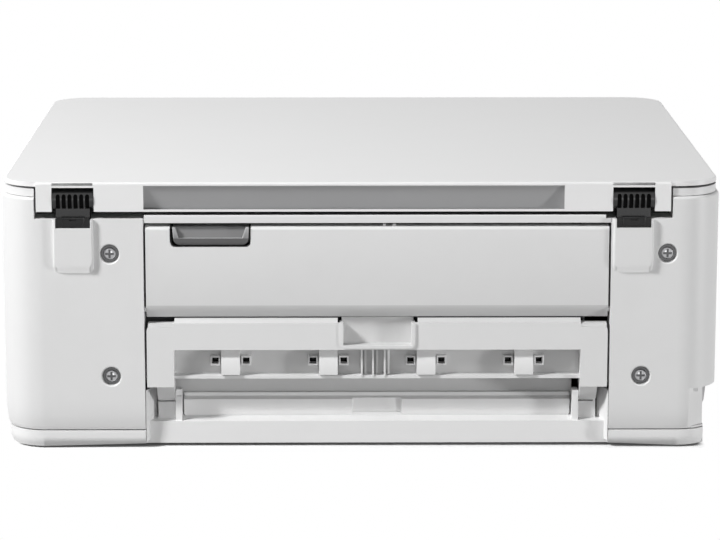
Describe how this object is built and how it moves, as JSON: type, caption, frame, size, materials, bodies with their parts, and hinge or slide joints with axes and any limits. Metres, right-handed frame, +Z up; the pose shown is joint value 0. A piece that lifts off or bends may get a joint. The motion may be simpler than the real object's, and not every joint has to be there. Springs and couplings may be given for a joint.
{
  "type": "multifunction printer",
  "caption": "Compact inkjet multifunction printer with a hinged scanner lid, rear jam cover, lower rear flap, paper drawer, tilting panel and ink door.",
  "frame": {"origin": "middle of the footprint, on the surface that the feet stand on", "axes": "+X to the machine's right as seen from its front, +Y towards its rear, +Z up"},
  "size_m": [0.4, 0.343, 0.151],
  "materials": {
    "shell_plastic": "fine-grained light grey moulding",
    "lid_plastic": "fine-grained near-white moulding",
    "inner_plastic": "smooth light grey moulding",
    "black_plastic": "satin black moulding",
    "grey_plastic": "satin mid-grey moulding",
    "dark_plastic": "matte dark moulding",
    "button_plastic": "satin grey caps",
    "pad_foam": "white film on thin foam",
    "scan_glass": "clear polished pane",
    "display_window": "gloss black window",
    "sheet_steel": "plated sheet",
    "screw_steel": "bright zinc",
    "foot_rubber": "matte rubber",
    "roller_rubber": "fine matte rubber",
    "circuit_board": "green solder mask"
  },
  "bodies": {
    "case": {"base_pan": "shell_plastic", "side_cover_right": "shell_plastic", "side_cover_left": "shell_plastic", "front_fascia": "shell_plastic", "rear_rail": "shell_plastic", "lower_guide": "inner_plastic", "mains_inlet": "dark_plastic", "foot_front_left": "foot_rubber", "foot_front_right": "foot_rubber", "foot_rear_left": "foot_rubber", "foot_rear_right": "foot_rubber", "screw_right_top": "screw_steel", "screw_right_low": "screw_steel", "screw_left_top": "screw_steel", "screw_left_low": "screw_steel", "scanner_frame": "shell_plastic", "scanner_pan": "inner_plastic", "scanner_glass": "scan_glass", "scan_rod": "sheet_steel", "print_frame": "sheet_steel", "inner_guide": "dark_plastic", "platen": "dark_plastic", "main_board": "circuit_board", "power_supply": "dark_plastic", "cartridge_bay": "dark_plastic", "cartridge_black": "dark_plastic", "cartridge_cyan": "dark_plastic", "cartridge_magenta": "dark_plastic", "cartridge_yellow": "dark_plastic"},
    "hinge_posts": {"hinge_post_right": "black_plastic", "hinge_post_left": "black_plastic"},
    "lid": {"document_lid": "lid_plastic", "document_pad": "pad_foam", "hinge_leaf_right": "black_plastic", "hinge_leaf_left": "black_plastic"},
    "scan_bar": {"scan_bar": "dark_plastic"},
    "rear_cover": {"rear_cover": "shell_plastic"},
    "rear_latch": {"rear_latch": "grey_plastic"},
    "lower_flap": {"lower_flap": "shell_plastic"},
    "paper_tray": {"paper_tray": "inner_plastic", "tray_cover": "inner_plastic"},
    "stop_flap": {"stop_flap": "inner_plastic"},
    "width_guide_left": {"width_guide_left": "dark_plastic"},
    "width_guide_right": {"width_guide_right": "dark_plastic"},
    "end_guide": {"end_guide": "dark_plastic"},
    "control_panel": {"control_panel": "shell_plastic", "display_window": "display_window"},
    "power_button": {"power_button": "button_plastic"},
    "stop_button": {"stop_button": "button_plastic"},
    "ok_button": {"ok_button": "button_plastic"},
    "start_button": {"start_button": "button_plastic"},
    "ink_door": {"ink_door": "shell_plastic"},
    "print_carriage": {"print_carriage": "dark_plastic"},
    "feed_roller": {"feed_roller": "sheet_steel", "feed_gear": "inner_plastic"},
    "idler_gear": {"idler_gear": "inner_plastic"},
    "exit_roller": {"exit_roller": "roller_rubber", "exit_gear": "inner_plastic"},
    "pickup_arm": {"pickup_arm": "dark_plastic"},
    "pickup_roller": {"pickup_roller": "roller_rubber"}
  },
  "joints": [
    {"name": "lid_lift", "type": "slide", "parent": "case", "child": "hinge_posts", "axis": [0, 0, 1], "range_m": [0, 0.012]},
    {"name": "lid_hinge", "type": "hinge", "parent": "hinge_posts", "child": "lid", "pos_m": [0, 0.162, 0.1409], "axis": [-1, 0, 0], "range_deg": [0, 80]},
    {"name": "scan_travel", "type": "slide", "parent": "case", "child": "scan_bar", "axis": [1, 0, 0], "range_m": [0, 0.272]},
    {"name": "rear_cover_hinge", "type": "hinge", "parent": "case", "child": "rear_cover", "pos_m": [0, 0.164, 0.079], "axis": [-1, 0, 0], "range_deg": [0, 85]},
    {"name": "latch_pull", "type": "hinge", "parent": "rear_cover", "child": "rear_latch", "pos_m": [0.0832, 0.165, 0.1175], "axis": [-1, 0, 0], "range_deg": [0, 9], "stiffness_Nm_per_rad": 0.2},
    {"name": "lower_flap_hinge", "type": "hinge", "parent": "case", "child": "lower_flap", "pos_m": [-0.0091, 0.158, 0.029], "axis": [-1, 0, 0], "range_deg": [0, 85]},
    {"name": "tray_slide", "type": "slide", "parent": "case", "child": "paper_tray", "axis": [0, -1, 0], "range_m": [0, 0.19]},
    {"name": "stop_flap_hinge", "type": "hinge", "parent": "paper_tray", "child": "stop_flap", "pos_m": [0, -0.1683, 0.06], "axis": [1, 0, 0], "range_deg": [0, 150]},
    {"name": "left_guide_slide", "type": "slide", "parent": "paper_tray", "child": "width_guide_left", "axis": [1, 0, 0], "range_m": [0, 0.055]},
    {"name": "right_guide_slide", "type": "slide", "parent": "paper_tray", "child": "width_guide_right", "axis": [-1, 0, 0], "range_m": [0, 0.055]},
    {"name": "end_guide_slide", "type": "slide", "parent": "paper_tray", "child": "end_guide", "axis": [0, -1, 0], "range_m": [0, 0.09]},
    {"name": "panel_tilt", "type": "hinge", "parent": "case", "child": "control_panel", "pos_m": [0, -0.1679, 0.1325], "axis": [-1, 0, 0], "range_deg": [0, 40]},
    {"name": "power_press", "type": "slide", "parent": "control_panel", "child": "power_button", "axis": [0, 1, 0], "range_m": [0, 0.0007], "stiffness_N_per_m": 400},
    {"name": "stop_press", "type": "slide", "parent": "control_panel", "child": "stop_button", "axis": [0, 1, 0], "range_m": [0, 0.0007], "stiffness_N_per_m": 400},
    {"name": "ok_press", "type": "slide", "parent": "control_panel", "child": "ok_button", "axis": [0, 1, 0], "range_m": [0, 0.0007], "stiffness_N_per_m": 400},
    {"name": "start_press", "type": "slide", "parent": "control_panel", "child": "start_button", "axis": [0, 1, 0], "range_m": [0, 0.0007], "stiffness_N_per_m": 400},
    {"name": "ink_door_hinge", "type": "hinge", "parent": "case", "child": "ink_door", "pos_m": [0.1455, -0.1699, 0.0155], "axis": [1, 0, 0], "range_deg": [0, 85]},
    {"name": "carriage_travel", "type": "slide", "parent": "case", "child": "print_carriage", "axis": [-1, 0, 0], "range_m": [0, 0.12]},
    {"name": "feed_spin", "type": "hinge", "parent": "case", "child": "feed_roller", "pos_m": [0, 0.02, 0.0784], "axis": [1, 0, 0], "continuous": true},
    {"name": "idler_spin", "type": "hinge", "parent": "case", "child": "idler_gear", "pos_m": [0.1296, -0.00766, 0.08274], "axis": [1, 0, 0], "continuous": true},
    {"name": "exit_spin", "type": "hinge", "parent": "case", "child": "exit_roller", "pos_m": [0, -0.0325, 0.0799], "axis": [1, 0, 0], "continuous": true},
    {"name": "pickup_swing", "type": "hinge", "parent": "case", "child": "pickup_arm", "pos_m": [0.0153, 0.05, 0.0665], "axis": [1, 0, 0], "range_deg": [0, 10]},
    {"name": "pickup_spin", "type": "hinge", "parent": "pickup_arm", "child": "pickup_roller", "pos_m": [0, 0.084, 0.0665], "axis": [1, 0, 0], "continuous": true}
  ],
  "couplings": [
    {"joint": "right_guide_slide", "follows": "left_guide_slide", "ratio": 1},
    {"joint": "idler_spin", "follows": "feed_spin", "ratio": -1.1538},
    {"joint": "exit_spin", "follows": "feed_spin", "ratio": 1.25}
  ]
}
